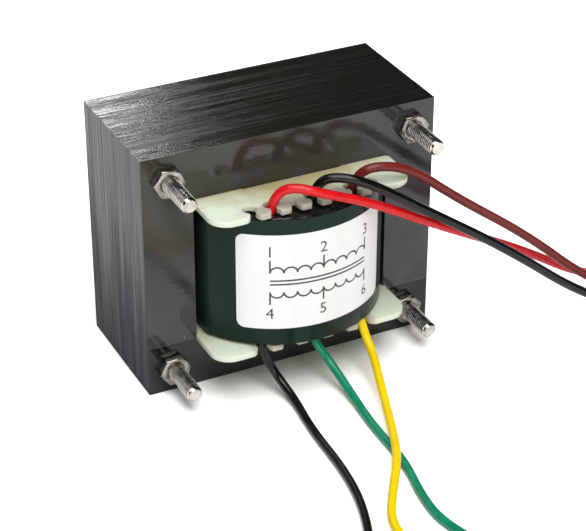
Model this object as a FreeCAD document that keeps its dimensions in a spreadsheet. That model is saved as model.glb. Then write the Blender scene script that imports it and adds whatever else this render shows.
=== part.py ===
import FreeCAD, Part
import math
import os

import Sketcher
from FreeCAD import Rotation, Vector

# Push-pull output transformer on a 76.2 mm E and I core with a 35 mm stack.
# Millimetres. The origin is the middle of the core's underside, +Z is up, and the four
# clamp bolts point forward along -Y.

DRIVING_SIZES = [
    # Core of stamped E and I sheets, laid in packets that point up and down in turn
    ("core_width", 76.2, "outer width of one E sheet"),
    ("centre_leg_width", 25.4, "tongue that the bobbin slides over"),
    ("outer_leg_width", 12.7, "side legs of the E"),
    ("yoke_height", 12.7, "back of the E, and the I bar"),
    ("window_height", 38.1, "length of the E legs"),
    ("stack_depth", 35.0, "all sheets pressed together"),
    ("packet_pairs", 5, "packets that point up, each with one that points down"),
    ("bolt_inset", 6.35, "hole centre from both outer edges of the core"),
    ("bolt_hole", 4.5, "punched hole diameter"),
    # Bobbin
    ("tongue_clearance", 0.2, "bobbin bore to the centre leg, each side"),
    ("tube_wall", 1.2, "wall round the bore"),
    ("flange_thickness", 1.4, "both end flanges"),
    ("yoke_clearance", 0.1, "flange face to the yoke and the I bar"),
    ("leg_clearance", 0.2, "flange edge to the outer legs"),
    ("flange_overhang", 13.4, "flange in front of and behind the stack"),
    ("ear_flare", 0.5, "flange outside the window is wider by this, each side"),
    ("ear_gap", 0.3, "core face to the wider part"),
    ("ear_radius", 5.0, "rounded outer corners"),
    ("lobe_width", 7.0, "least width of the lobe outside the last slot"),
    ("lobe_radius", 2.0, "rounded inner corner of each outer lobe"),
    ("tooth_radius", 0.6, "rounded corners of the teeth between the slots"),
    ("upper_slot_pitch", 5.2, "slots of the upper flange"),
    ("upper_slot_width", 1.7, "throat of an upper slot"),
    ("lead_hole", 3.5, "round end of the slots that pass a lead"),
    ("lead_hole_depth", 3.7, "centre of that round end behind the flange edge"),
    ("blind_slot_depth", 2.4, "slots that pass no lead"),
    ("lower_slot_pitch", 6.7, "slots of the lower flange"),
    ("lower_slot_width", 3.0, "slots of the lower flange"),
    ("lower_slot_depth", 3.7, "centre of their round end behind the flange edge"),
    ("mouth_flare", 0.55, "slot mouth is wider by this, each side"),
    ("mouth_depth", 1.3, "depth over which the mouth narrows"),
    # Coil
    ("layer_gap", 0.04, "between neighbouring layers"),
    ("primary_thickness", 1.7, "one primary section beside the tube"),
    ("secondary_thickness", 1.35, "one secondary section beside the tube"),
    ("insulation_thickness", 0.25, "tape between two sections"),
    ("wrap_thickness", 0.4, "outer green wrap"),
    ("build_ratio", 1.59, "front build of a layer over its side build"),
    ("winding_margin", 1.3, "flange to the end of a winding"),
    ("end_tape_thickness", 0.6, "black tape over the coil ends"),
    ("wrap_margin", 0.75, "flange to the edge of the wrap"),
    ("coil_clearance", 1.7, "wrap to the outer legs of the core"),
    ("label_width", 42.0, "along the curve"),
    ("label_height", 25.3, "upright"),
    ("label_shift", 2.0, "label centre to the right of the middle, along the curve"),
    ("label_centre_height", 32.1, "label centre above the underside"),
    ("label_thickness", 0.12, "printed film"),
    ("label_radius", 2.0, "rounded corners of the label"),
    # Clamp hardware, M4
    ("bolt_diameter", 4.0, "thread outside"),
    ("shank_diameter", 3.55, "rolled shank, and the thread where the nut holds it"),
    ("bolt_length", 50.0, "below the head"),
    ("bolt_tip_chamfer", 0.5, "end of the thread"),
    ("head_diameter", 8.0, "pan head"),
    ("head_height", 3.1, "pan head"),
    ("recess_span", 4.4, "cross recess, tip to tip"),
    ("recess_arm", 1.2, "cross recess, width of an arm"),
    ("recess_depth", 1.8, "cross recess"),
    ("spring_washer_width", 7.4, "split washer outside"),
    ("spring_washer_thickness", 0.9, "split washer"),
    ("spring_washer_split", 0.8, "gap in the split washer"),
    ("flat_washer_width", 9.0, "plain washer outside"),
    ("flat_washer_thickness", 0.8, "plain washer"),
    ("washer_clearance", 0.15, "washer bore to the bolt, each side"),
    ("nut_width", 7.0, "across flats"),
    ("nut_thickness", 2.2, "thin nut"),
    ("nut_face", 6.7, "diameter of the flat face inside the chamfer"),
    ("nut_chamfer", 0.4, "height of the chamfer at the corners"),
    ("thread_gap", 0.05, "nut bore to the bolt, each side"),
    ("thread_start", 0.3, "free thread begins this far in front of the nut"),
    # Leads
    ("upper_lead_diameter", 2.3, "silicone primary leads"),
    ("lower_lead_diameter", 2.1, "secondary leads"),
    ("tip_diameter", 1.2, "bare tinned strands"),
    ("tip_length", 6.0, "stripped end"),
]

doc = FreeCAD.newDocument("audio_transformer")
sheet = doc.addObject("Spreadsheet::Sheet", "sizes")
for row, (alias, number, note) in enumerate(DRIVING_SIZES, start=1):
    sheet.set(f"A{row}", alias)
    sheet.set(f"B{row}", str(number))
    sheet.set(f"C{row}", note)
    sheet.setAlias(f"B{row}", alias)
doc.recompute()


class Size:
    """A number together with the spreadsheet formula that it comes from."""

    def __init__(self, value, formula):
        self.value = value
        self.formula = formula

    def __add__(self, other):
        other = as_size(other)
        return Size(self.value + other.value, f"({self.formula} + {other.formula})")

    def __sub__(self, other):
        other = as_size(other)
        return Size(self.value - other.value, f"({self.formula} - {other.formula})")

    def __mul__(self, other):
        other = as_size(other)
        return Size(self.value * other.value, f"({self.formula} * {other.formula})")

    def __truediv__(self, other):
        other = as_size(other)
        return Size(self.value / other.value, f"({self.formula} / {other.formula})")

    def __neg__(self):
        return self * -1

    def root(self):
        return Size(math.sqrt(self.value), f"sqrt({self.formula})")

    def sine(self):
        return Size(math.sin(math.radians(self.value)), f"sin({self.formula})")

    def cosine(self):
        return Size(math.cos(math.radians(self.value)), f"cos({self.formula})")


def as_size(number):
    if isinstance(number, Size):
        return number
    return Size(float(number), f"({float(number)})")


def size(alias):
    return Size(float(sheet.get(alias)), f"sizes.{alias}")


ZERO = as_size(0)
DEGREES_PER_RADIAN = as_size(180 / math.pi)
CUT_OVERRUN = as_size(1)

# Places that several pieces share
core_half = size("core_width") / 2
tongue_half = size("centre_leg_width") / 2
window_side = core_half - size("outer_leg_width")
window_floor = size("yoke_height")
window_top = window_floor + size("window_height")
core_height = window_top + size("yoke_height")
stack_half = size("stack_depth") / 2
packet_thickness = stack_half / size("packet_pairs")
bolt_x = core_half - size("bolt_inset")
bolt_heights = (size("bolt_inset"), core_height - size("bolt_inset"))

bore_x = tongue_half + size("tongue_clearance")
bore_y = stack_half + size("tongue_clearance")
tube_x = bore_x + size("tube_wall")
tube_y = bore_y + size("tube_wall")
bobbin_bottom = window_floor + size("yoke_clearance")
bobbin_top = window_top - size("yoke_clearance")
lower_flange_top = bobbin_bottom + size("flange_thickness")
upper_flange_bottom = bobbin_top - size("flange_thickness")
flange_y = stack_half + size("flange_overhang")
ear_half = window_side - size("leg_clearance") + size("ear_flare")

winding_bottom = lower_flange_top + size("winding_margin")
winding_top = upper_flange_bottom - size("winding_margin")
wrap_bottom = lower_flange_top + size("wrap_margin")
wrap_top = upper_flange_bottom - size("wrap_margin")


class Stop:
    """The end of one edge of an outline: straight, or an arc about a centre."""

    def __init__(self, x, y, centre=None, turn=1):
        self.x = as_size(x)
        self.y = as_size(y)
        self.centre = centre
        self.turn = turn

    def point(self):
        return Vector(self.x.value, self.y.value, 0)


def arc_edge(first, last, centre):
    middle = Vector(centre[0].value, centre[1].value, 0)
    angles = []
    for stop in (first, last):
        reach = stop.point() - middle
        angles.append(math.atan2(reach.y, reach.x))
    if angles[1] <= angles[0]:
        angles[1] += 2 * math.pi
    circle = Part.Circle(middle, Vector(0, 0, 1), reach.Length)
    return Part.ArcOfCircle(circle, angles[0], angles[1])


def draw_outline(sketch, stops):
    """Draw a closed outline whose stops stay tied to the spreadsheet."""
    ties = []
    joins = []
    here = stops[-1]
    for stop in stops:
        if stop.centre is None:
            number = sketch.addGeometry(Part.LineSegment(here.point(), stop.point()), False)
            start, finish = 1, 2
        elif stop.turn > 0:
            number = sketch.addGeometry(arc_edge(here, stop, stop.centre), False)
            start, finish = 1, 2
        else:
            number = sketch.addGeometry(arc_edge(stop, here, stop.centre), False)
            start, finish = 2, 1
        joins.append((number, start, finish))
        ties.append(("DistanceX", (-1, 1, number, finish), stop.x))
        ties.append(("DistanceY", (-1, 1, number, finish), stop.y))
        if stop.centre is not None:
            ties.append(("DistanceY", (-1, 1, number, 3), stop.centre[1]))
        here = stop
    for before, after in zip(joins, joins[1:] + joins[:1]):
        sketch.addConstraint(Sketcher.Constraint("Coincident", before[0], before[2], after[0], after[1]))
    tie_down(sketch, ties)


def draw_circle(sketch, x, y, radius):
    circle = Part.Circle(Vector(x.value, y.value, 0), Vector(0, 0, 1), radius.value)
    number = sketch.addGeometry(circle, False)
    ties = [
        ("DistanceX", (-1, 1, number, 3), x),
        ("DistanceY", (-1, 1, number, 3), y),
        ("Radius", (number,), radius),
    ]
    tie_down(sketch, ties)


def tie_down(sketch, ties):
    for kind, elements, amount in ties:
        index = sketch.addConstraint(Sketcher.Constraint(kind, *elements, amount.value))
        sketch.setExpression(f"Constraints[{index}]", amount.formula)


def bind(item, name, amount):
    item.setExpression(name, as_size(amount).formula)


def new_body(name):
    return doc.addObject("PartDesign::Body", name)


def origin_feature(body, role):
    for feature in body.Origin.OriginFeatures:
        if feature.Role == role:
            return feature
    raise ValueError(f"{body.Name} has no {role}")


def new_sketch(body, name, plane="XY_Plane", lift=ZERO):
    sketch = body.newObject("Sketcher::SketchObject", name)
    sketch.AttachmentSupport = [(origin_feature(body, plane), "")]
    sketch.MapMode = "FlatFace"
    bind(sketch, "AttachmentOffset.Base.z", lift)
    return sketch


def pad(body, sketch, length, name):
    feature = body.newObject("PartDesign::Pad", name)
    feature.Profile = sketch
    bind(feature, "Length", length)
    return feature


def revolve(body, sketch, name, kind="PartDesign::Revolution"):
    feature = body.newObject(kind, name)
    feature.Profile = sketch
    feature.ReferenceAxis = (origin_feature(body, "Z_Axis"), [""])
    feature.Angle = 360
    return feature


def pocket(body, sketch, depth, name):
    """Cut downwards from the sketch, and make sure that material went."""
    doc.recompute()
    before = body.Shape.Volume
    feature = body.newObject("PartDesign::Pocket", name)
    feature.Profile = sketch
    bind(feature, "Length", depth)
    doc.recompute()
    if body.Shape.Volume >= before:
        raise ValueError(f"{name} cut nothing")
    return feature


def upright_edges(shape, test):
    """Names of the edges along Z whose place passes the test."""
    names = []
    for number, edge in enumerate(shape.Edges, start=1):
        ends = [vertex.Point for vertex in edge.Vertexes]
        if len(ends) != 2 or abs((ends[1] - ends[0]).normalize().z) < 0.999:
            continue
        if test(ends[0].x, ends[0].y):
            names.append(f"Edge{number}")
    return names


def place(item, x, y, z, rotation=None):
    if rotation is not None:
        item.Placement = FreeCAD.Placement(Vector(0, 0, 0), rotation)
    bind(item, "Placement.Base.x", x)
    bind(item, "Placement.Base.y", y)
    bind(item, "Placement.Base.z", z)


def group(name, items):
    compound = doc.addObject("Part::Compound", name)
    compound.Links = items
    return compound


# Core

def e_outline():
    """One E sheet in the XZ plane, yoke up, legs down."""
    floor = window_floor
    return [
        Stop(-core_half, floor),
        Stop(-window_side, floor),
        Stop(-window_side, window_top),
        Stop(-tongue_half, window_top),
        Stop(-tongue_half, floor),
        Stop(tongue_half, floor),
        Stop(tongue_half, window_top),
        Stop(window_side, window_top),
        Stop(window_side, floor),
        Stop(core_half, floor),
        Stop(core_half, core_height),
        Stop(-core_half, core_height),
    ]


def i_outline():
    return [
        Stop(-core_half, ZERO),
        Stop(core_half, ZERO),
        Stop(core_half, window_floor),
        Stop(-core_half, window_floor),
    ]


def sheet_packet(name, outline, hole_height, number, inverted):
    """A packet of like sheets. The XZ sketch's own normal points to -Y."""
    body = new_body(f"{name}_{number}")
    sketch = new_sketch(body, f"{name}_{number}_outline", "XZ_Plane")
    draw_outline(sketch, outline)
    for side in (-1, 1):
        draw_circle(sketch, bolt_x * side, hole_height, size("bolt_hole") / 2)
    pad(body, sketch, packet_thickness, f"{name}_{number}_pad")
    rotation = Rotation(Vector(0, 1, 0), 180 if inverted else 0)
    lift = core_height if inverted else ZERO
    place(body, ZERO, packet_thickness * (number + 1) - stack_half, lift, rotation)
    return body


def build_core():
    upright_e, lower_i, inverted_e, upper_i = [], [], [], []
    for number in range(2 * int(size("packet_pairs").value)):
        inverted = number % 2 == 1
        e_list, i_list = (inverted_e, upper_i) if inverted else (upright_e, lower_i)
        e_list.append(sheet_packet("e_sheets", e_outline(), bolt_heights[1], number, inverted))
        i_list.append(sheet_packet("i_sheets", i_outline(), bolt_heights[0], number, inverted))
    return [
        group("upright_e_laminations", upright_e),
        group("lower_i_laminations", lower_i),
        group("inverted_e_laminations", inverted_e),
        group("upper_i_laminations", upper_i),
    ]


# Bobbin

def rectangle(half_x, half_y):
    return [
        Stop(half_x, -half_y),
        Stop(half_x, half_y),
        Stop(-half_x, half_y),
        Stop(-half_x, -half_y),
    ]


def flange_outline():
    """Narrow inside the window, wider and round-cornered outside it."""
    inner = window_side - size("leg_clearance")
    outer = ear_half
    start = stack_half + size("ear_gap")
    radius = size("ear_radius")
    x = outer - radius
    y = flange_y - radius
    return [
        Stop(inner, -start),
        Stop(inner, start),
        Stop(outer, start),
        Stop(outer, y),
        Stop(x, flange_y, (x, y)),
        Stop(-x, flange_y),
        Stop(-outer, y, (-x, y)),
        Stop(-outer, start),
        Stop(-inner, start),
        Stop(-inner, -start),
        Stop(-outer, -start),
        Stop(-outer, -y),
        Stop(-x, -flange_y, (-x, -y)),
        Stop(x, -flange_y),
        Stop(outer, -y, (x, -y)),
        Stop(outer, -start),
    ]


def slot_outline(x, width, end_radius, depth):
    """A slot in from the flange's front edge, with a flared mouth and a round end."""
    half = width / 2
    mouth = half + size("mouth_flare")
    centre_y = depth - flange_y
    throat = centre_y - (end_radius * end_radius - half * half).root()
    narrow = size("mouth_depth") - flange_y
    outside = -flange_y - CUT_OVERRUN
    return [
        Stop(x + mouth, outside),
        Stop(x + mouth, -flange_y),
        Stop(x + half, narrow),
        Stop(x + half, throat),
        Stop(x - half, throat, (x, centre_y)),
        Stop(x - half, narrow),
        Stop(x - mouth, -flange_y),
        Stop(x - mouth, outside),
    ]


def mouth_half(level):
    return size(f"{level}_slot_width") / 2 + size("mouth_flare")


def last_slot(level):
    """How many slots fit on each side of the middle one and leave the lobe its width."""
    room = ear_half - size("lobe_width") - mouth_half(level)
    return int(room.value / size(f"{level}_slot_pitch").value)


def cut_upper_slots(body):
    """The slots next to the middle one are blind, and the others end in a lead hole."""
    sketch = new_sketch(body, "upper_slot_outlines", lift=bobbin_top)
    width = size("upper_slot_width")
    for step in range(-last_slot("upper"), last_slot("upper") + 1):
        blind = abs(step) == 1
        end_radius = width / 2 if blind else size("lead_hole") / 2
        depth = size("blind_slot_depth") if blind else size("lead_hole_depth")
        x = size("upper_slot_pitch") * step
        draw_outline(sketch, slot_outline(x, width, end_radius, depth))
    return pocket(body, sketch, size("flange_thickness"), "upper_slots")


def cut_lower_slots(body):
    sketch = new_sketch(body, "lower_slot_outlines", lift=lower_flange_top)
    width = size("lower_slot_width")
    for step in range(-last_slot("lower"), last_slot("lower") + 1):
        x = size("lower_slot_pitch") * step
        draw_outline(sketch, slot_outline(x, width, width / 2, size("lower_slot_depth")))
    return pocket(body, sketch, size("flange_thickness"), "lower_slots")


def build_bobbin():
    """Moulded in one piece: a square tube between two flanges with lead slots."""
    body = new_body("bobbin")
    levels = (
        ("tube", rectangle(tube_x, tube_y), bobbin_bottom, bobbin_top - bobbin_bottom),
        ("lower_flange", flange_outline(), bobbin_bottom, size("flange_thickness")),
        ("upper_flange", flange_outline(), upper_flange_bottom, size("flange_thickness")),
    )
    for name, outline, bottom, height in levels:
        sketch = new_sketch(body, f"{name}_outline", lift=bottom)
        draw_outline(sketch, outline)
        draw_outline(sketch, rectangle(bore_x, bore_y))
        pad(body, sketch, height, name)
    slots = [cut_upper_slots(body), cut_lower_slots(body)]
    mirror = body.newObject("PartDesign::Mirrored", "rear_slots")
    mirror.Originals = slots
    mirror.MirrorPlane = (origin_feature(body, "XZ_Plane"), [""])
    body.Tip = mirror
    doc.recompute()

    lobes = []
    for level in ("upper", "lower"):
        edge = size(f"{level}_slot_pitch") * last_slot(level) + mouth_half(level)
        lobes.append(edge.value)
    corners = upright_edges(body.Shape, lambda x, y: is_lobe_corner(x, y, lobes))
    rounding = body.newObject("PartDesign::Fillet", "lobe_rounding")
    rounding.Base = (mirror, corners)
    bind(rounding, "Radius", size("lobe_radius"))
    body.Tip = rounding
    doc.recompute()

    corners = upright_edges(body.Shape, lambda x, y: on_flange_edge(y) and abs(x) < max(lobes))
    teeth = body.newObject("PartDesign::Fillet", "tooth_rounding")
    teeth.Base = (rounding, corners)
    bind(teeth, "Radius", size("tooth_radius"))
    body.Tip = teeth
    return body


def on_flange_edge(y):
    return abs(abs(y) - flange_y.value) < 0.01


def is_lobe_corner(x, y, lobes):
    return on_flange_edge(y) and min(abs(abs(x) - lobe) for lobe in lobes) < 0.01


# Coil

class Shell:
    """Size of one layer's face: straight beside the tube, arched in front and behind."""

    def __init__(self, side, apex):
        self.side = side
        self.apex = apex

    def grown(self, thickness):
        return Shell(self.side + thickness * side_build, self.apex + thickness * size("build_ratio"))

    def offset(self, gap):
        return Shell(self.side + gap, self.apex + gap)

    def radius(self):
        rise = self.apex - shoulder
        return rise / 2 + self.side * self.side / (rise * 2)

    def outline(self):
        centre_y = self.apex - self.radius()
        return [
            Stop(self.side, shoulder),
            Stop(-self.side, shoulder, (ZERO, centre_y)),
            Stop(-self.side, -shoulder),
            Stop(self.side, -shoulder, (ZERO, -centre_y)),
        ]


shoulder = tube_y + size("layer_gap")


def sleeve(name, outer, inner, bottom, top):
    body = new_body(name)
    sketch = new_sketch(body, f"{name}_outline", lift=bottom)
    draw_outline(sketch, outer)
    draw_outline(sketch, inner)
    pad(body, sketch, top - bottom, f"{name}_pad")
    return body


COIL_LAYERS = [
    ("primary_winding_a", "primary_thickness"),
    ("insulation_a", "insulation_thickness"),
    ("secondary_winding_a", "secondary_thickness"),
    ("insulation_b", "insulation_thickness"),
    ("primary_winding_b", "primary_thickness"),
    ("insulation_c", "insulation_thickness"),
    ("secondary_winding_b", "secondary_thickness"),
    ("insulation_d", "insulation_thickness"),
    ("primary_winding_c", "primary_thickness"),
]


def side_build_ratio():
    """Room beside the tube over the sum of the layers, so that the coil fits its window."""
    gaps = size("layer_gap") * (len(COIL_LAYERS) + 1)
    room = window_side - size("coil_clearance") - size("wrap_thickness") - tube_x - gaps
    layers = ZERO
    for name, thickness in COIL_LAYERS:
        layers = layers + size(thickness)
    ratio = room / layers
    row = len(DRIVING_SIZES) + 2
    sheet.set(f"A{row}", "side_build")
    sheet.set(f"B{row}", "=" + ratio.formula.replace("sizes.", ""))
    sheet.setAlias(f"B{row}", "side_build")
    doc.recompute()
    return size("side_build")


side_build = side_build_ratio()


def build_coil():
    """Primary and secondary sections in turn, with tape between them."""
    gap = size("layer_gap")
    tube_face = rectangle(tube_x + gap, tube_y + gap)
    face = Shell(tube_x + gap, tube_y + gap)
    inner = tube_face
    nodes = []
    for name, thickness in COIL_LAYERS:
        outer = face.grown(size(thickness))
        nodes.append(sleeve(name, outer.outline(), inner, winding_bottom, winding_top))
        face = outer.offset(gap)
        inner = face.outline()

    tape = size("end_tape_thickness")
    edge = face.offset(-gap).outline()
    nodes.append(sleeve("lower_end_tape", edge, tube_face, winding_bottom - tape, winding_bottom))
    nodes.append(sleeve("upper_end_tape", edge, tube_face, winding_top, winding_top + tape))

    wrap_face = Shell(face.side + size("wrap_thickness"), face.apex + size("wrap_thickness"))
    nodes.append(sleeve("outer_wrap", wrap_face.outline(), face.outline(), wrap_bottom, wrap_top))
    nodes.append(build_label(wrap_face))
    return nodes


def on_curve(radius, angle, centre_y):
    """A point of the coil's front curve, at an angle from straight ahead."""
    return radius * angle.sine(), centre_y - radius * angle.cosine()


def build_label(face):
    """A thin printed film that lies on the front curve of the wrap."""
    near = face.radius()
    far = near + size("label_thickness")
    centre_y = near - face.apex
    centre = (ZERO, centre_y)
    half = size("label_width") / 2
    left = (size("label_shift") - half) / near * DEGREES_PER_RADIAN
    right = (size("label_shift") + half) / near * DEGREES_PER_RADIAN
    body = new_body("label")
    bottom = size("label_centre_height") - size("label_height") / 2
    sketch = new_sketch(body, "label_band", lift=bottom)
    outline = [
        Stop(*on_curve(far, left, centre_y)),
        Stop(*on_curve(far, right, centre_y), centre),
        Stop(*on_curve(near, right, centre_y)),
        Stop(*on_curve(near, left, centre_y), centre, -1),
    ]
    draw_outline(sketch, outline)
    film = pad(body, sketch, size("label_height"), "label_film")
    doc.recompute()
    short = 2 * size("label_thickness").value
    corners = [f"Edge{n}" for n, edge in enumerate(body.Shape.Edges, start=1) if edge.Length < short]
    rounding = body.newObject("PartDesign::Fillet", "label_corners")
    rounding.Base = (film, corners)
    bind(rounding, "Radius", size("label_radius"))
    body.Tip = rounding
    return body


# Clamp hardware. Each piece is turned about its own Z, which then points forward.

FORWARD = Rotation(Vector(1, 0, 0), 90)
spring_seat = stack_half + size("flat_washer_thickness")
head_seat = spring_seat + size("spring_washer_thickness")


def bolt(name, x, z):
    """Pan head screw: the head lies below the local origin, the thread above it."""
    body = new_body(name)
    radius = size("bolt_diameter") / 2
    shank = size("shank_diameter") / 2
    length = size("bolt_length")
    step = head_seat + stack_half + size("nut_thickness") + size("thread_start")
    chamfer = size("bolt_tip_chamfer")
    head = size("head_diameter") / 2
    dome = size("head_height") / 2
    sketch = new_sketch(body, f"{name}_profile", "XZ_Plane")
    draw_outline(sketch, [
        Stop(ZERO, -size("head_height")),
        Stop(head - dome, -size("head_height")),
        Stop(head, -dome, (head - dome, -dome)),
        Stop(head, ZERO),
        Stop(shank, ZERO),
        Stop(shank, step),
        Stop(radius, step),
        Stop(radius, length - chamfer),
        Stop(radius - chamfer, length),
        Stop(ZERO, length),
    ])
    revolve(body, sketch, f"{name}_turning")
    cut_recess(body, name)
    place(body, x, head_seat, z, FORWARD)
    return body


def cut_recess(body, name):
    """Cross recess in the top of the head."""
    reach = size("recess_span") / 2
    arm = size("recess_arm") / 2
    floor = size("recess_depth") - size("head_height")
    sketch = new_sketch(body, f"{name}_recess_outline", lift=floor)
    draw_outline(sketch, [
        Stop(reach, -arm), Stop(reach, arm), Stop(arm, arm), Stop(arm, reach),
        Stop(-arm, reach), Stop(-arm, arm), Stop(-reach, arm), Stop(-reach, -arm),
        Stop(-arm, -arm), Stop(-arm, -reach), Stop(arm, -reach), Stop(arm, -arm),
    ])
    pocket(body, sketch, size("recess_depth") + CUT_OVERRUN, f"{name}_recess")


def nut(name, x, z, turn):
    """Thin hexagon nut, chamfered at both faces, bore countersunk."""
    body = new_body(name)
    flat = size("nut_width") / 2
    corner = flat * (2 / math.sqrt(3))
    side = flat * (1 / math.sqrt(3))
    bore = size("shank_diameter") / 2 + size("thread_gap")
    height = size("nut_thickness")
    sketch = new_sketch(body, f"{name}_outline")
    draw_outline(sketch, [
        Stop(corner, ZERO), Stop(side, flat), Stop(-side, flat),
        Stop(-corner, ZERO), Stop(-side, -flat), Stop(side, -flat),
    ])
    draw_circle(sketch, ZERO, ZERO, bore)
    pad(body, sketch, height, f"{name}_pad")
    face = size("nut_face") / 2
    chamfer = size("nut_chamfer")
    sink = size("nut_chamfer")
    rings = new_sketch(body, f"{name}_chamfers", "XZ_Plane")
    for level, into in ((height, -1), (ZERO, 1)):
        draw_outline(rings, [
            Stop(face, level),
            Stop(corner, level + chamfer * into),
            Stop(corner + CUT_OVERRUN, level + chamfer * into),
            Stop(corner + CUT_OVERRUN, level - CUT_OVERRUN * into),
            Stop(face, level - CUT_OVERRUN * into),
        ])
        draw_outline(rings, [
            Stop(bore + sink, level),
            Stop(bore, level + sink * into),
            Stop(bore / 2, level + sink * into),
            Stop(bore / 2, level - CUT_OVERRUN * into),
            Stop(bore + sink, level - CUT_OVERRUN * into),
        ])
    revolve(body, rings, f"{name}_turning", "PartDesign::Groove")
    place(body, x, -stack_half, z, FORWARD * Rotation(Vector(0, 0, 1), turn))
    return body


def washer(name, x, z, width, thickness, seat, split=None):
    """Plain or split ring. Its near face lies at the seat, and it reaches back to the core."""
    body = new_body(name)
    sketch = new_sketch(body, f"{name}_outline")
    draw_circle(sketch, ZERO, ZERO, width / 2)
    draw_circle(sketch, ZERO, ZERO, size("bolt_diameter") / 2 + size("washer_clearance"))
    pad(body, sketch, thickness, f"{name}_pad")
    if split is not None:
        gap = new_sketch(body, f"{name}_gap", lift=thickness)
        draw_outline(gap, [
            Stop(ZERO, -split / 2),
            Stop(width, -split / 2),
            Stop(width, split / 2),
            Stop(ZERO, split / 2),
        ])
        pocket(body, gap, thickness, f"{name}_split")
    place(body, x, seat, z, FORWARD)
    return body


NUT_TURNS = {(-1, 1): -3, (1, 1): 5, (-1, 0): 8, (1, 0): 12}


def build_hardware():
    bolts, nuts, springs, flats = [], [], [], []
    for (side, level), turn in NUT_TURNS.items():
        x = bolt_x * side
        z = bolt_heights[level]
        corner = f"{'left' if side < 0 else 'right'}_{'upper' if level else 'lower'}"
        bolts.append(bolt(f"bolt_{corner}", x, z))
        nuts.append(nut(f"nut_{corner}", x, z, turn))
        springs.append(washer(f"spring_{corner}", x, z, size("spring_washer_width"),
                              size("spring_washer_thickness"), head_seat,
                              size("spring_washer_split")))
        flats.append(washer(f"flat_{corner}", x, z, size("flat_washer_width"),
                            size("flat_washer_thickness"), spring_seat))
    return [
        group("clamp_bolts", bolts),
        group("clamp_nuts", nuts),
        group("spring_washers", springs),
        group("flat_washers", flats),
    ]


# Leads. Each route starts on an end tape, passes its slot and ends where it is cut off.

LEAD_ROUTES = {
    "red_lead": ("upper_lead_diameter", [
        (-10.4, -27.2, 48.6), (-9.4, -27.5, 52.9), (-6, -29.5, 55.5), (1, -33, 53.5),
        (13.4, -32.6, 48.1), (33.5, -32.2, 36.3), (60, -26.5, 20.4), (80, -24.5, 6.8),
        (96, -22.5, 1.3), (112, -23.5, 1.2)]),
    "black_upper_lead": ("upper_lead_diameter", [
        (0, -27.2, 48.6), (1, -27.5, 52.9), (4.5, -29, 55.5), (12, -33, 54),
        (26, -34.5, 44.3), (49, -35.5, 28.4), (74, -36, 8), (91, -37.5, 1.3), (107, -41, 1.2)]),
    "brown_lead": ("upper_lead_diameter", [
        (10.4, -27.2, 48.6), (11.4, -27.5, 52.9), (15.5, -29, 55.6), (24.5, -30.5, 53.6),
        (38, -30.5, 42.2), (59.3, -29, 26.2), (78.3, -31.5, 9), (95, -33, 1.5), (111, -31.5, 1.2)]),
    "black_lower_lead": ("lower_lead_diameter", [
        (-13.4, -27.2, 14.9), (-12.7, -28.1, 10.8), (-9.8, -29.9, 4.6), (-8.2, -36.3, 1.1),
        (-10, -48.5, 1.1), (-10.5, -66, 1.1), (-13, -80, 1.1), (-19.5, -96, 1.1),
        (-22, -116, 1.1), (-18, -134, 1.1)]),
    "green_lead": ("lower_lead_diameter", [
        (0.1, -27.2, 14.9), (0.6, -28.3, 11.2), (3.6, -31.3, 5.8), (4.7, -39.5, 2),
        (3.5, -54, 1.1), (3.5, -69, 1.1), (0.5, -82, 1.1), (0, -92.5, 1.1),
        (5.5, -107, 1.1), (9, -123, 1.1), (8, -138, 1.1)]),
    "yellow_lead": ("lower_lead_diameter", [
        (13.5, -27.2, 14.9), (14.2, -28.6, 10.2), (14.3, -33.5, 6.2), (10.5, -45, 4.2),
        (5, -60.5, 3.6), (1, -70, 3.5), (-5, -78.5, 1.8), (-10.5, -87.5, 1.1),
        (-10, -98, 1.1), (-2.5, -111, 1.1), (1.5, -127, 1.1)]),
}


def lead_path(points):
    """Straight runs joined by tangent arcs. Gives the wire and the arc radii."""
    edges = []
    radii = []
    here = points[0]
    for before, corner, after in zip(points, points[1:], points[2:]):
        back = (before - corner).normalize()
        ahead = (after - corner).normalize()
        half_turn = (math.pi - back.getAngle(ahead)) / 2
        shorter = min((before - corner).Length, (after - corner).Length)
        reach = 0.45 * shorter
        radius = reach / math.tan(half_turn)
        start = corner + back * reach
        finish = corner + ahead * reach
        inward = (back + ahead).normalize()
        middle = corner + inward * (radius / math.cos(half_turn) - radius)
        edges.append(Part.LineSegment(here, start).toShape())
        edges.append(Part.Arc(start, middle, finish).toShape())
        radii.append(radius)
        here = finish
    edges.append(Part.LineSegment(here, points[-1]).toShape())
    return Part.Wire(edges), radii


def build_lead(name, diameter, route):
    """A tube that starts flat on the end tape and ends in a stretch of bare strands."""
    points = [Vector(*point) for point in route]
    seat = points[0]
    first = (points[1] - seat).normalize()
    path, radii = lead_path([seat - first * diameter / 2] + points[1:])
    section = Part.Wire([Part.Circle(seat - first * diameter / 2, first, diameter / 2).toShape()])
    solid = path.makePipeShell([section], True, True)
    if solid.Volume < 0:
        solid.reverse()
    corner = seat - Vector(diameter, diameter, diameter if first.z > 0 else 0)
    solid = solid.cut(Part.makeBox(2 * diameter, 2 * diameter, diameter, corner)).Solids[0]
    length = path.Length - diameter / 2
    expected = math.pi * diameter ** 2 / 4 * length
    print(f"{name}: length {length:.1f}, volume {solid.Volume:.1f} of {expected:.1f}, "
          f"radii {', '.join(f'{radius:.0f}' for radius in radii)}")
    lead = doc.addObject("Part::Feature", name)
    lead.Shape = solid

    last = (points[-1] - points[-2]).normalize()
    tip = doc.addObject("Part::Feature", f"{name}_tip")
    tip_radius = size("tip_diameter").value / 2
    tip.Shape = Part.makeCylinder(tip_radius, size("tip_length").value, points[-1], last)
    return [lead, tip]


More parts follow.
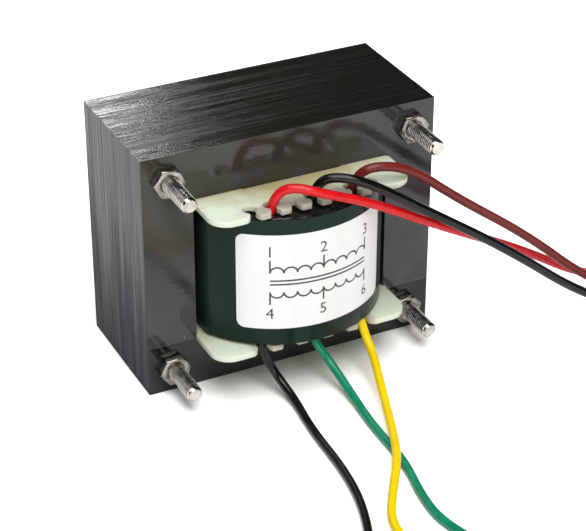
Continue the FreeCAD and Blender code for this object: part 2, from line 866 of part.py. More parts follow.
def build_leads():
    nodes = []
    for name, (diameter, route) in LEAD_ROUTES.items():
        nodes += build_lead(name, size(diameter).value, route)
    return nodes


def check_and_write(nodes):
    doc.recompute()
    for item in doc.Objects:
        if "Invalid" in item.State or "Error" in item.State:
            raise ValueError(f"{item.Name} failed: {item.State}")
    for node in nodes:
        if node.Shape.isNull() or not node.Shape.isValid():
            raise ValueError(f"{node.Label} has no valid shape")
    os.makedirs("parts", exist_ok=True)
    for node in nodes:
        node.Shape.exportStep(f"parts/{node.Label}.step")


subparts = build_core()
subparts.append(build_bobbin())
subparts += build_coil()
subparts += build_hardware()
subparts += build_leads()
check_and_write(subparts)
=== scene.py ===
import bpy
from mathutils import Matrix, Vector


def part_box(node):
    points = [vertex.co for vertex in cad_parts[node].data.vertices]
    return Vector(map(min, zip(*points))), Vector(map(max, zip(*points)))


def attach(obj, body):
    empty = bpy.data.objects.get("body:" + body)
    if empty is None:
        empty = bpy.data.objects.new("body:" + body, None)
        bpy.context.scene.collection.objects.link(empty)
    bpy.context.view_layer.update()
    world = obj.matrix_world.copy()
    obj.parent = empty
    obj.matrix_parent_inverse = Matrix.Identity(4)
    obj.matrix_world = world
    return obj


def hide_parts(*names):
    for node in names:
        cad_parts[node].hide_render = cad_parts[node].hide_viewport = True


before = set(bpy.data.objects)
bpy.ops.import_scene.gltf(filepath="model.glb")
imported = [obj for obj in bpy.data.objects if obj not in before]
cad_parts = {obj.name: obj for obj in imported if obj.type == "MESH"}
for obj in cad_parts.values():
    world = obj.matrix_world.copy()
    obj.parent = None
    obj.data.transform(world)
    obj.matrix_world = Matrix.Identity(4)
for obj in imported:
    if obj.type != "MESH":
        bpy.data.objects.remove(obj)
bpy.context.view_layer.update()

import math
import random

import bmesh
import bpy
from mathutils import Matrix, Vector

# Output transformer on a bolted E and I core. Metres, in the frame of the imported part: the origin
# is the middle of the core's underside, +Z is up and the clamp bolts point forward along -Y.

MM = 0.001

core_low, core_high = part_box("upright_e_laminations")

CORE_WIDTH = core_high.x - core_low.x
CORE_HEIGHT = core_high.z
FRONT = core_low.y
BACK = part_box("upper_i_laminations")[1].y
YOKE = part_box("lower_i_laminations")[1].z
TONGUE_HALF = 12.7 * MM
OUTER_LEG = 12.7 * MM
BOLT_INSET = 6.35 * MM
BOLT_HOLE = 4.5 * MM
BOLT_X = CORE_WIDTH / 2 - BOLT_INSET
BOLT_TIP_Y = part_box("clamp_bolts")[0].y
PACKETS = 10
SHEETS_PER_PACKET = 10
SHEET_PITCH = (BACK - FRONT) / PACKETS / SHEETS_PER_PACKET


# Shader nodes. Places, distances and depths in the materials are in millimetres.

# For each kind of mix node, its sockets for the two inputs and the result
MIX_SOCKETS = {"RGBA": (6, 7, 2), "FLOAT": (2, 3, 0)}


class ShaderTree:
    """A tree of shader nodes, with a short method for each kind of node that the looks use."""

    def __init__(self, tree):
        self.nodes = tree.nodes
        self.links = tree.links

    def feed(self, socket, value):
        """Link a socket to another node's output, or set it to a number or a colour."""
        if isinstance(value, bpy.types.NodeSocket):
            self.links.new(value, socket)
        elif socket.type == "RGBA":
            socket.default_value = (*value, 1)
        else:
            socket.default_value = value

    def place(self, *scale):
        """Where a point lies in the part's frame, stretched by a scale along each axis."""
        coordinates = self.nodes.new("ShaderNodeTexCoord")
        mapping = self.nodes.new("ShaderNodeMapping")
        mapping.inputs["Scale"].default_value = [factor / MM for factor in scale or (1, 1, 1)]
        self.feed(mapping.inputs["Vector"], coordinates.outputs["Object"])
        return mapping.outputs["Vector"]

    def axes(self, vector):
        parts = self.nodes.new("ShaderNodeSeparateXYZ")
        self.feed(parts.inputs["Vector"], vector)
        return parts.outputs

    def noise(self, place, scale=1.0, detail=3, roughness=0.5):
        texture = self.nodes.new("ShaderNodeTexNoise")
        texture.inputs["Scale"].default_value = scale
        texture.inputs["Detail"].default_value = detail
        texture.inputs["Roughness"].default_value = roughness
        self.feed(texture.inputs["Vector"], place)
        return texture.outputs["Fac"]

    def spread(self, value, low, high, new_low=0, new_high=1):
        """Map a value from one range to another, with its ends held."""
        node = self.nodes.new("ShaderNodeMapRange")
        for socket, number in (("From Min", low), ("From Max", high),
                               ("To Min", new_low), ("To Max", new_high)):
            node.inputs[socket].default_value = number
        self.feed(node.inputs["Value"], value)
        return node.outputs["Result"]

    def mix(self, factor, first, second, kind="RGBA"):
        node = self.nodes.new("ShaderNodeMix")
        node.data_type = kind
        first_socket, second_socket, result = MIX_SOCKETS[kind]
        self.feed(node.inputs["Factor"], factor)
        self.feed(node.inputs[first_socket], first)
        self.feed(node.inputs[second_socket], second)
        return node.outputs[result]

    def calculate(self, operation, *values):
        node = self.nodes.new("ShaderNodeMath")
        node.operation = operation
        for socket, value in zip(node.inputs, values):
            self.feed(socket, value)
        return node.outputs["Value"]

    def bump(self, height, depth, below=None):
        """Relief of a depth, on top of any relief below it."""
        node = self.nodes.new("ShaderNodeBump")
        node.inputs["Distance"].default_value = depth * MM
        node.inputs["Strength"].default_value = 1.0
        self.feed(node.inputs["Height"], height)
        if below is not None:
            self.feed(node.inputs["Normal"], below)
        return node.outputs["Normal"]

    def facing(self, axis):
        """One where the surface faces along an axis of the core, zero where it doesn't."""
        geometry = self.nodes.new("ShaderNodeNewGeometry")
        direction = self.axes(geometry.outputs["True Normal"])[axis]
        return self.spread(self.calculate("ABSOLUTE", direction), 0.6, 0.8)


class Surface(ShaderTree):
    """A material with one principled shader."""

    def __init__(self, name):
        self.material = bpy.data.materials.new(name)
        self.material.use_nodes = True
        super().__init__(self.material.node_tree)
        self.shader = self.nodes["Principled BSDF"]

    def give(self, socket, value):
        self.feed(self.shader.inputs[socket], value)


# Varnished steel of the core

FACE_BROWN_TINT = (0.036, 0.034, 0.021)
FACE_SPECK = (0.42, 0.42, 0.40)
EDGE_DARK = (0.002, 0.002, 0.001)
EDGE_LIGHT = (0.007, 0.007, 0.005)
SIDE_HIGH = (0.001, 0.002, 0.005)
SIDE_LOW_PAINTED_BLUE = (0.002, 0.010, 0.024)
SIDE_REAR_PAINTED_LIGHT = (0.055, 0.055, 0.060)


def varnished_face_color(steel, place, axes, cloud, dark, light):
    """Browner towards the upper left, with pale specks beside the nuts."""
    color = steel.mix(steel.spread(cloud, 0.35, 0.65), dark, light)
    tint_noise = steel.noise(place, 0.06, 4, 0.6)
    upward = steel.calculate("MULTIPLY_ADD", axes["Z"], 0.008, tint_noise)
    up_and_left = steel.calculate("MULTIPLY_ADD", axes["X"], -0.004, upward)
    color = steel.mix(steel.spread(up_and_left, 0.91, 0.97, 0, 0.8), color, FACE_BROWN_TINT)
    specks = steel.spread(steel.noise(place, 1.1, 2, 0.6), 0.73, 0.77)
    near_nuts = steel.spread(steel.calculate("ABSOLUTE", axes["X"]), 25, 29, 0, 0.6)
    return steel.mix(steel.calculate("MULTIPLY", specks, near_nuts), color, FACE_SPECK)


def varnished_edge_color(steel, axes, on_side, streaks, bands, banded_height):
    """Streaked on top. On the sides, a painted bluish reflection low down and painted light towards
    the rear.
    """
    banded_depth = steel.calculate("MULTIPLY_ADD", bands, 50, axes["Y"])
    # painted reflection: the sides are tinted blue low down
    side = steel.mix(steel.spread(banded_height, 35, 70, 1, 0), SIDE_HIGH, SIDE_LOW_PAINTED_BLUE)
    # painted light: the sides are paler towards the rear
    side = steel.mix(steel.spread(banded_depth, 5, 45), side, SIDE_REAR_PAINTED_LIGHT)
    edge = steel.mix(steel.spread(streaks, 0.35, 0.7), EDGE_DARK, EDGE_LIGHT)
    return steel.mix(on_side, edge, side)


def varnish_relief(steel, on_face, streaks):
    """Streaks along the sheets' edges, leathery varnish on top and drips down the faces."""
    off_face = steel.spread(on_face, 0, 1, 1, 0)
    relief = steel.bump(steel.calculate("MULTIPLY", streaks, off_face), 0.03)
    leather = steel.noise(steel.place(0.7, 1, 1), 2.6, 1.5)
    leather_depth = steel.calculate("MULTIPLY", steel.spread(steel.facing("Z"), 0, 1, 0.06, 1),
                                    steel.spread(streaks, 0.4, 0.6, 0.5, 1.1))
    relief = steel.bump(steel.calculate("MULTIPLY", leather, leather_depth), 0.024, relief)
    drips = steel.noise(steel.place(0.25, 1, 1.6))
    return steel.bump(steel.calculate("MULTIPLY", drips, on_face), 0.025, relief)


def varnished_steel(name, face_dark, face_light):
    """Black varnished sheets: streaked along their edges, smooth and glossy on the faces."""
    steel = Surface(name)
    place = steel.place()
    axes = steel.axes(place)
    on_face = steel.facing("Y")
    on_side = steel.facing("X")
    streaks = steel.noise(steel.place(0.012, 1.1, 0.012), detail=4, roughness=0.7)
    cloud = steel.noise(place, 0.09)
    bands = steel.noise(steel.place(0.02, 0.35, 0.02))
    banded_height = steel.calculate("MULTIPLY_ADD", bands, 60, axes["Z"])
    edge_color = varnished_edge_color(steel, axes, on_side, streaks, bands, banded_height)
    face_color = varnished_face_color(steel, place, axes, cloud, face_dark, face_light)
    steel.give("Base Color", steel.mix(on_face, edge_color, face_color))
    side_dullness = steel.calculate("MULTIPLY", on_side,
                                    steel.spread(banded_height, 35, 75, 0.6, 0.1))
    edge_roughness = steel.calculate("ADD", side_dullness,
                                     steel.spread(streaks, 0.42, 0.58, 0.28, 0.05))
    face_roughness = steel.spread(cloud, 0.35, 0.65, 0.06, 0.13)
    steel.give("Roughness", steel.mix(on_face, edge_roughness, face_roughness, "FLOAT"))
    steel.give("Normal", varnish_relief(steel, on_face, streaks))
    return steel.material


# Other materials

NYLON_TANNED = (0.48, 0.41, 0.225)
NYLON_CLEAR = (0.73, 0.81, 0.67)
NYLON_TEETH = (0.47, 0.46, 0.38)


def moulded_nylon():
    """Pale translucent plastic, tan close to the core and greyer on the flanges' teeth."""
    nylon = Surface("moulded_nylon")
    place = nylon.place()
    axes = nylon.axes(place)
    aside = nylon.calculate("ABSOLUTE", axes["X"])
    outward = nylon.calculate("ABSOLUTE", axes["Y"])
    cloud = nylon.noise(place, 0.16)
    drift = nylon.calculate("MULTIPLY", cloud, 7)
    reach = nylon.calculate("MULTIPLY_ADD", aside, 0.5, nylon.calculate("ADD", outward, drift))
    plastic = nylon.mix(nylon.spread(reach, 27, 39), NYLON_TANNED, NYLON_CLEAR)
    on_teeth = nylon.calculate("MULTIPLY", nylon.spread(outward, 26.5, 28),
                               nylon.spread(aside, 17, 15))
    nylon.give("Base Color", nylon.mix(on_teeth, plastic, NYLON_TEETH))
    nylon.give("Subsurface Weight", 0.55)
    nylon.give("Subsurface Radius", (1.0, 0.9, 0.6))
    nylon.give("Subsurface Scale", 2.0 * MM)
    nylon.give("Roughness", nylon.spread(cloud, 0.3, 0.7, 0.22, 0.36))
    nylon.give("Normal", nylon.bump(nylon.noise(place, 0.8, 2), 0.03))
    return nylon.material


def wrap_tape():
    """Dark green polyester tape with a satin shine and slight ripples."""
    tape = Surface("wrap_tape")
    cloud = tape.noise(tape.place(), 0.12)
    tape.give("Base Color", tape.mix(cloud, (0.005, 0.017, 0.012), (0.009, 0.025, 0.018)))
    tape.give("Specular IOR Level", 0.14)
    tape.give("Roughness", tape.spread(cloud, 0.3, 0.7, 0.14, 0.22))
    ripples = tape.noise(tape.place(0.25, 0.25, 0.04), detail=2)
    tape.give("Normal", tape.bump(ripples, 0.12))
    return tape.material


def wet_black_tape():
    """Black tape over the coil's end, soaked in glossy varnish."""
    tape = Surface("wet_black_tape")
    lumps = tape.noise(tape.place(0.16, 0.5, 1), detail=2)
    tape.give("Base Color", tape.mix(lumps, (0.003, 0.003, 0.003), (0.010, 0.010, 0.009)))
    tape.give("Roughness", 0.06)
    tape.give("Normal", tape.bump(lumps, 1.4))
    return tape.material


def label_film():
    """White printed film, a little uneven in tone."""
    film = Surface("label_film")
    bands = film.noise(film.place(0.12, 0.12, 0.01), detail=2)
    film.give("Base Color", film.mix(film.spread(bands, 0.5, 0.72), (0.90, 0.90, 0.91),
                                     (0.84, 0.86, 0.78)))
    film.give("Roughness", 0.32)
    ripples = film.noise(film.place(0.3, 0.3, 0.06), detail=2)
    film.give("Normal", film.bump(ripples, 0.05))
    return film.material


def print_ink():
    """Black ink with a fine speckle."""
    ink = Surface("print_ink")
    speckle = ink.noise(ink.place(), 6.0, 2)
    ink.give("Base Color", ink.mix(speckle, (0.028, 0.028, 0.032), (0.065, 0.065, 0.07)))
    ink.give("Roughness", 0.5)
    return ink.material


def plated_steel(name, dull, bright):
    """Nickel plating with dull patches, and painted shade with grime at the bottom of the threads."""
    steel = Surface(name)
    place = steel.place()
    patches = steel.noise(place, 0.5, 4)
    metal = steel.mix(steel.spread(patches, 0.35, 0.65), dull, bright)
    groove = steel.nodes.new("ShaderNodeAttribute")
    groove.attribute_name = "groove"
    # painted shade and grime, near black, down in the threads' grooves
    groove_shade_and_grime = steel.spread(groove.outputs["Fac"], 0.1, 0.3)
    steel.give("Base Color", steel.mix(groove_shade_and_grime, metal, (0.004, 0.004, 0.003)))
    steel.give("Metallic", 1.0)
    steel.give("Roughness", steel.spread(patches, 0.35, 0.65, 0.18, 0.34))
    scratches = steel.noise(place, 3.0, 4)
    steel.give("Normal", steel.bump(scratches, 0.02))
    return steel.material


def lead_rubber(name, color, marked, roughness):
    """Wire insulation, with its other colour where it has been handled."""
    rubber = Surface(name)
    place = rubber.place()
    clean = rubber.spread(rubber.noise(place, 0.35, 4), 0.3, 0.7)
    rubber.give("Base Color", rubber.mix(clean, marked, color))
    dust = rubber.noise(place, 2.5)
    rubber.give("Roughness", rubber.spread(dust, 0.35, 0.65, roughness, roughness + 0.12))
    rubber.give("Specular IOR Level", 0.35)
    rubber.give("Normal", rubber.bump(dust, 0.015))
    return rubber.material


def wound_copper():
    """Enamelled wire, one turn above the other, with painted shade in the dark part of each turn's
    band.
    """
    copper = Surface("wound_copper")
    waves = copper.nodes.new("ShaderNodeTexWave")
    waves.bands_direction = "Z"
    waves.inputs["Scale"].default_value = 1.0
    waves.inputs["Distortion"].default_value = 0.4
    copper.feed(waves.inputs["Vector"], copper.place())
    turns = waves.outputs["Fac"]
    # painted shade between the turns, in the dark half of each band
    copper.give("Base Color", copper.mix(turns, (0.20, 0.06, 0.02), (0.62, 0.24, 0.09)))
    copper.give("Metallic", 0.8)
    copper.give("Roughness", 0.3)
    copper.give("Normal", copper.bump(turns, 0.1))
    return copper.material


def amber_tape():
    """Yellow insulating tape between the windings."""
    tape = Surface("amber_tape")
    cloud = tape.noise(tape.place(), 0.3)
    tape.give("Base Color", tape.mix(cloud, (0.55, 0.36, 0.09), (0.72, 0.52, 0.18)))
    tape.give("Roughness", 0.3)
    return tape.material


STEEL = varnished_steel("varnished_steel", (0.034, 0.033, 0.032), (0.052, 0.051, 0.060))
BAR_STEEL = varnished_steel("varnished_bar_steel", (0.004, 0.004, 0.004), (0.010, 0.010, 0.011))
NYLON = moulded_nylon()
GREEN_TAPE = wrap_tape()
BLACK_TAPE = wet_black_tape()
LABEL = label_film()
INK = print_ink()
PLATED = plated_steel("plated_steel", (0.16, 0.152, 0.13), (0.44, 0.425, 0.375))
THREADED = plated_steel("threaded_steel", (0.52, 0.50, 0.45), (0.73, 0.71, 0.66))
COPPER = wound_copper()
AMBER = amber_tape()


# Shared mesh helpers

ROUNDED_ANGLE = math.radians(35)
SHARP_ANGLE = math.radians(32)
FLAT_ANGLE = math.radians(0.5)
NODE_WELD = 0.002 * MM
FINE_WELD = 0.001 * MM


def make_piece(name, mesh, material, slot, *nodes):
    """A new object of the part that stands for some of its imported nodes."""
    piece = bpy.data.objects.new(name, mesh)
    bpy.context.scene.collection.objects.link(piece)
    mesh.materials.clear()
    mesh.materials.append(material)
    mesh.shade_smooth()
    mesh.set_sharp_from_angle(angle=SHARP_ANGLE)
    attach(piece, "root")
    if nodes:
        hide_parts(*nodes)
    return piece


def node_mesh(node):
    """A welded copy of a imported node's mesh, with its flat faces merged."""
    shape = bmesh.new()
    shape.from_mesh(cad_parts[node].data)
    bmesh.ops.remove_doubles(shape, verts=shape.verts, dist=NODE_WELD)
    bmesh.ops.dissolve_limit(shape, angle_limit=FLAT_ANGLE, verts=shape.verts, edges=shape.edges)
    return shape


def round_edges(shape, width):
    sharp = [edge for edge in shape.edges
             if len(edge.link_faces) == 2 and edge.calc_face_angle(0) > ROUNDED_ANGLE]
    bmesh.ops.bevel(shape, geom=sharp, offset=width, segments=2, profile=0.6,
                    affect="EDGES", clamp_overlap=True)


def finish_mesh(shape, name):
    mesh = bpy.data.meshes.new(name)
    shape.to_mesh(mesh)
    shape.free()
    return mesh


def softened(node, name, width, material, slot):
    """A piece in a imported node's shape, with its sharp edges rounded by a width."""
    shape = node_mesh(node)
    round_edges(shape, width)
    return make_piece(name, finish_mesh(shape, name), material, slot, node)


# Core: single sheets, each a little out of line with the next

SHEET_GAP = 0.012 * MM
SHEET_CHAMFER = 0.025 * MM
SHEET_SLIP = 0.03 * MM
JOINT_GAP = 0.03 * MM
HOLE_STEPS = 24


def draw_outline(curve, outline):
    """A closed line of straight runs through flat points."""
    line = curve.splines.new("POLY")
    line.points.add(len(outline) - 1)
    for point, (x, z) in zip(line.points, outline):
        point.co = (x, z, 0, 1)
    line.use_cyclic_u = True


def sheet_form(outline, hole_z):
    """Vertices and faces of one stamped sheet in the XZ plane, centred on Y = 0."""
    curve = bpy.data.curves.new("sheet", "CURVE")
    curve.dimensions = "2D"
    curve.fill_mode = "BOTH"
    curve.extrude = (SHEET_PITCH - SHEET_GAP) / 2 - SHEET_CHAMFER
    curve.bevel_depth = SHEET_CHAMFER
    curve.bevel_resolution = 0
    curve.offset = -SHEET_CHAMFER
    draw_outline(curve, outline)
    angles = [math.tau * step / HOLE_STEPS for step in range(HOLE_STEPS)]
    for side in (-1, 1):
        draw_outline(curve, [(BOLT_X * side + BOLT_HOLE / 2 * math.cos(angle),
                              hole_z + BOLT_HOLE / 2 * math.sin(angle)) for angle in angles])
    holder = bpy.data.objects.new("sheet", curve)
    mesh = bpy.data.meshes.new_from_object(holder)
    shape = bmesh.new()
    shape.from_mesh(mesh)
    bmesh.ops.remove_doubles(shape, verts=shape.verts, dist=FINE_WELD)
    points = [Vector((vertex.co.x, -vertex.co.z, vertex.co.y)) for vertex in shape.verts]
    faces = [[vertex.index for vertex in face.verts] for face in shape.faces]
    shape.free()
    bpy.data.objects.remove(holder)
    bpy.data.curves.remove(curve)
    bpy.data.meshes.remove(mesh)
    return points, faces


def stack_sheets(name, form, first_packet, node, seed, material):
    """Every second packet of the core, sheet by sheet."""
    points, faces = form
    chance = random.Random(seed)
    all_points, all_faces = [], []
    for packet in range(first_packet, PACKETS, 2):
        for sheet in range(SHEETS_PER_PACKET):
            number = packet * SHEETS_PER_PACKET + sheet
            slip = Vector((chance.gauss(0, SHEET_SLIP / 2), FRONT + SHEET_PITCH * (number + 0.5),
                           chance.gauss(0, SHEET_SLIP / 2)))
            start = len(all_points)
            all_points += [point + slip for point in points]
            all_faces += [[start + index for index in face] for face in faces]
    mesh = bpy.data.meshes.new(name)
    mesh.from_pydata(all_points, [], all_faces)
    return make_piece(name, mesh, material, "core_steel", node)


def build_core():
    side = CORE_WIDTH / 2
    window = side - OUTER_LEG
    floor = YOKE + JOINT_GAP
    window_top = CORE_HEIGHT - YOKE
    e_outline = [
        (-side, floor), (-window, floor), (-window, window_top), (-TONGUE_HALF, window_top),
        (-TONGUE_HALF, floor), (TONGUE_HALF, floor), (TONGUE_HALF, window_top), (window, window_top),
        (window, floor), (side, floor), (side, CORE_HEIGHT), (-side, CORE_HEIGHT),
    ]
    i_outline = [(-side, 0), (side, 0), (side, YOKE), (-side, YOKE)]

    def upside_down(outline):
        return [(x, CORE_HEIGHT - z) for x, z in reversed(outline)]

    low_hole, high_hole = BOLT_INSET, CORE_HEIGHT - BOLT_INSET
    stack_sheets("upright_e_sheets", sheet_form(e_outline, high_hole), 0, "upright_e_laminations", 1,
                 STEEL)
    stack_sheets("lower_i_sheets", sheet_form(i_outline, low_hole), 0, "lower_i_laminations", 2,
                 BAR_STEEL)
    stack_sheets("inverted_e_sheets", sheet_form(upside_down(e_outline), low_hole), 1,
                 "inverted_e_laminations", 3, STEEL)
    stack_sheets("upper_i_sheets", sheet_form(upside_down(i_outline), high_hole), 1,
                 "upper_i_laminations", 4, STEEL)


# Coil

def dress(node, material):
    """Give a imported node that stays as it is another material."""
    node.data.materials.clear()
    node.data.materials.append(material)


def build_coil():
    softened("bobbin", "moulded_bobbin", 0.2 * MM, NYLON, "bobbin_plastic")
    softened("outer_wrap", "green_wrap", 0.08 * MM, GREEN_TAPE, "green_wrap")
    softened("upper_end_tape", "upper_black_tape", 0.1 * MM, BLACK_TAPE, "black_tape")
    softened("lower_end_tape", "lower_black_tape", 0.1 * MM, BLACK_TAPE, "black_tape")
    for name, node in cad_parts.items():
        if name.startswith(("primary_", "secondary_")):
            dress(node, COPPER)
        elif name.startswith("insulation_"):
            dress(node, AMBER)


# Label, bent onto the coil's front curve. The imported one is 42 mm wide and to the right of the
# middle, and the photograph's is narrower and almost in the middle.

label_low, label_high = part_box("label")

LABEL_RADIUS = 26.47 * MM
LABEL_CENTRE_Y = label_low.y + LABEL_RADIUS
LABEL_CENTRE_Z = (label_low.z + label_high.z) / 2
PACKED_LABEL_SHIFT = 2.0 * MM
LABEL_SHIFT = -0.2 * MM
LABEL_STRETCH = 41.0 / 42.0


def build_label():
    """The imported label, slid round the coil to where the photograph has it."""
    shape = node_mesh("label")
    for vertex in shape.verts:
        inward = LABEL_CENTRE_Y - vertex.co.y
        radius = math.hypot(vertex.co.x, inward)
        across = math.atan2(vertex.co.x, inward) * LABEL_RADIUS
        angle = ((across - PACKED_LABEL_SHIFT) * LABEL_STRETCH + LABEL_SHIFT) / LABEL_RADIUS
        vertex.co.x = radius * math.sin(angle)
        vertex.co.y = LABEL_CENTRE_Y - radius * math.cos(angle)
    make_piece("printed_label", finish_mesh(shape, "printed_label"), LABEL, "white_label", "label")


# Print on the label: terminal numbers above and below a winding diagram

INK_LIFT = 0.02 * MM
STROKE = 0.42 * MM
STROKE_STEP = 0.5 * MM
DIAGRAM_LEFT = -12.5 * MM
DIAGRAM_RIGHT = 13.5 * MM
CORE_LINE_LEVEL = 0.5 * MM
WINDING_LEVEL = 2.6 * MM
WINDING_LOOPS = 8
LOOP_BULGE = 1.5 * MM
LOOP_STEPS = 12
TERMINAL_LEVEL = 6.0 * MM
NUMBER_GAP = 0.9 * MM
NUMBER_HEIGHT = 2.9 * MM
FIGURE_SHARE_OF_FONT = 0.72


def on_label(across, up):
    """A place on the label, from its centre, in the part's frame."""
    angle = (across + LABEL_SHIFT) / LABEL_RADIUS
    radius = LABEL_RADIUS + INK_LIFT
    return Vector((radius * math.sin(angle), LABEL_CENTRE_Y - radius * math.cos(angle),
                   LABEL_CENTRE_Z + up))


def draw_stroke(shape, points):
    """A ribbon along flat points, in short steps so that it follows the curve."""
    steps = []
    for (x0, z0), (x1, z1) in zip(points, points[1:]):
        count = max(1, math.ceil(math.hypot(x1 - x0, z1 - z0) / STROKE_STEP))
        steps += [(x0 + (x1 - x0) * i / count, z0 + (z1 - z0) * i / count) for i in range(count)]
    steps.append(points[-1])
    rows = []
    for index, (x, z) in enumerate(steps):
        before = steps[max(index - 1, 0)]
        after = steps[min(index + 1, len(steps) - 1)]
        along = Vector((after[0] - before[0], after[1] - before[1])).normalized()
        aside = Vector((-along.y, along.x)) * STROKE / 2
        rows.append([shape.verts.new(on_label(x + aside.x * s, z + aside.y * s)) for s in (-1, 1)])
    for low, high in zip(rows, rows[1:]):
        shape.faces.new((low[0], high[0], high[1], low[1]))


def draw_number(shape, number, x, z):
    """A terminal's number, standing on a flat place and centred there."""
    letters = bpy.data.curves.new("number", "FONT")
    letters.body = str(number)
    letters.size = NUMBER_HEIGHT / FIGURE_SHARE_OF_FONT
    letters.align_x = "CENTER"
    letters.resolution_u = 4
    holder = bpy.data.objects.new("number", letters)
    flat = bpy.data.meshes.new_from_object(holder)
    start = {}
    for vertex in flat.vertices:
        start[vertex.index] = shape.verts.new(on_label(x + vertex.co.x, z + vertex.co.y))
    for face in flat.polygons:
        shape.faces.new([start[index] for index in face.vertices])
    bpy.data.objects.remove(holder)
    bpy.data.meshes.remove(flat)
    bpy.data.curves.remove(letters)


def winding_line(level, bulge):
    """Half round loops in a row, as a winding is drawn."""
    points = []
    width = (DIAGRAM_RIGHT - DIAGRAM_LEFT) / WINDING_LOOPS
    for loop in range(WINDING_LOOPS):
        middle = DIAGRAM_LEFT + width * (loop + 0.5)
        for step in range(LOOP_STEPS + 1):
            angle = math.pi * (1 - step / LOOP_STEPS)
            points.append((middle + width / 2 * math.cos(angle), level + bulge * math.sin(angle)))
    return points


def build_print():
    shape = bmesh.new()
    draw_stroke(shape, winding_line(WINDING_LEVEL, LOOP_BULGE))
    draw_stroke(shape, winding_line(-WINDING_LEVEL, -LOOP_BULGE))
    for level in (-CORE_LINE_LEVEL, CORE_LINE_LEVEL):
        draw_stroke(shape, [(DIAGRAM_LEFT, level), (DIAGRAM_RIGHT, level)])
    middle = (DIAGRAM_LEFT + DIAGRAM_RIGHT) / 2
    upper_level = TERMINAL_LEVEL + NUMBER_GAP
    lower_level = -TERMINAL_LEVEL - NUMBER_GAP - NUMBER_HEIGHT
    for terminal, x in enumerate((DIAGRAM_LEFT, middle, DIAGRAM_RIGHT), 1):
        draw_stroke(shape, [(x, WINDING_LEVEL), (x, TERMINAL_LEVEL)])
        draw_number(shape, terminal, x, upper_level)
        draw_stroke(shape, [(x, -WINDING_LEVEL), (x, -TERMINAL_LEVEL)])
        draw_number(shape, terminal + 3, x, lower_level)
    make_piece("label_print", finish_mesh(shape, "label_print"), INK, "black_tape")


# Clamp hardware

BOLT_RADIUS = 2.0 * MM
HEAD_ROUNDING = 0.12 * MM
TIP_CHAMFER = 0.5 * MM
THREAD_PITCH = 0.7 * MM
THREAD_DEPTH = 0.4 * MM
THREAD_COLUMNS = 48

# Points of one thread: its share of the pitch, and its share of the depth
THREAD_PROFILE = ((0.0, 1.0), (0.2, 1.0), (0.42, 0.0), (0.76, 0.0))


def thread_ring(shape, x, z, start_y, length, turns_before, depth):
    """One point of the profile, carried once round the bolt as it climbs by a pitch."""
    groove = shape.verts.layers.float["groove"]
    ring = []
    for column in range(THREAD_COLUMNS):
        turn = column / THREAD_COLUMNS
        along = min(max((turns_before + turn) * THREAD_PITCH, 0), length)
        chamfer = BOLT_RADIUS - TIP_CHAMFER + length - along
        radius = min(BOLT_RADIUS - THREAD_DEPTH * depth, chamfer)
        angle = math.tau * turn
        vertex = shape.verts.new((x + radius * math.cos(angle), start_y - along,
                                  z + radius * math.sin(angle)))
        vertex[groove] = 0 if chamfer < BOLT_RADIUS else depth
        ring.append(vertex)
    return ring


def add_thread(shape, x, z, start_y, tip_y):
    """A right-handed thread that runs along -Y to a chamfered tip."""
    per_turn = len(THREAD_PROFILE)
    length = start_y - tip_y
    rows = per_turn * (math.ceil(length / THREAD_PITCH) + 2)
    grid = []
    for row in range(rows):
        share, depth = THREAD_PROFILE[row % per_turn]
        turns_before = row // per_turn - 1 + share
        grid.append(thread_ring(shape, x, z, start_y, length, turns_before, depth))
    for row in range(rows - 1):
        for column in range(THREAD_COLUMNS):
            last = column == THREAD_COLUMNS - 1
            if last and row + per_turn + 1 >= rows:
                continue
            next_low = grid[row + per_turn][0] if last else grid[row][column + 1]
            next_high = grid[row + per_turn + 1][0] if last else grid[row + 1][column + 1]
            shape.faces.new((grid[row][column], next_low, next_high, grid[row + 1][column]))
    tip_radius = BOLT_RADIUS - TIP_CHAMFER
    angles = [math.tau * column / THREAD_COLUMNS for column in range(THREAD_COLUMNS)]
    shape.faces.new([shape.verts.new((x + tip_radius * math.cos(angle), tip_y,
                                      z + tip_radius * math.sin(angle))) for angle in angles])


def put_in_order(shape):
    """The weld leaves the points and faces in another order each run, so they are sorted."""
    for number, vertex in enumerate(sorted(shape.verts, key=lambda vertex: vertex.co[:])):
        vertex.index = number
    shape.verts.sort()
    by_middle = sorted(shape.faces, key=lambda face: face.calc_center_median()[:])
    for number, face in enumerate(by_middle):
        face.index = number
    shape.faces.sort()


def build_bolts():
    """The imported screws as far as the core's front, and threads from there on."""
    shape = node_mesh("clamp_bolts")
    kept = shape.verts[:] + shape.edges[:] + shape.faces[:]
    bmesh.ops.bisect_plane(shape, geom=kept, plane_co=(0, FRONT, 0), plane_no=(0, -1, 0),
                           clear_outer=True)
    round_edges(shape, HEAD_ROUNDING)
    shape.verts.layers.float.new("groove")
    for side in (-1, 1):
        for z in (BOLT_INSET, CORE_HEIGHT - BOLT_INSET):
            add_thread(shape, BOLT_X * side, z, FRONT, BOLT_TIP_Y)
    bmesh.ops.remove_doubles(shape, verts=shape.verts, dist=FINE_WELD)
    put_in_order(shape)
    make_piece("threaded_bolts", finish_mesh(shape, "threaded_bolts"), THREADED, "plated_steel",
               "clamp_bolts")


def build_hardware():
    build_bolts()
    softened("clamp_nuts", "chamfered_nuts", 0.16 * MM, PLATED, "plated_steel")
    softened("spring_washers", "split_washers", 0.08 * MM, PLATED, "plated_steel")
    softened("flat_washers", "plain_washers", 0.08 * MM, PLATED, "plated_steel")


# Leads

UPPER_LEAD = 2.3 * MM
LOWER_LEAD = 2.1 * MM
STRIPPED = 6.0 * MM
STRAND_RADIUS = 0.2 * MM
OUTER_STRANDS = 6
STRAND_TURNS = 0.55
STRAND_STEPS = 14
STRAND_ROOT = 0.3 * MM

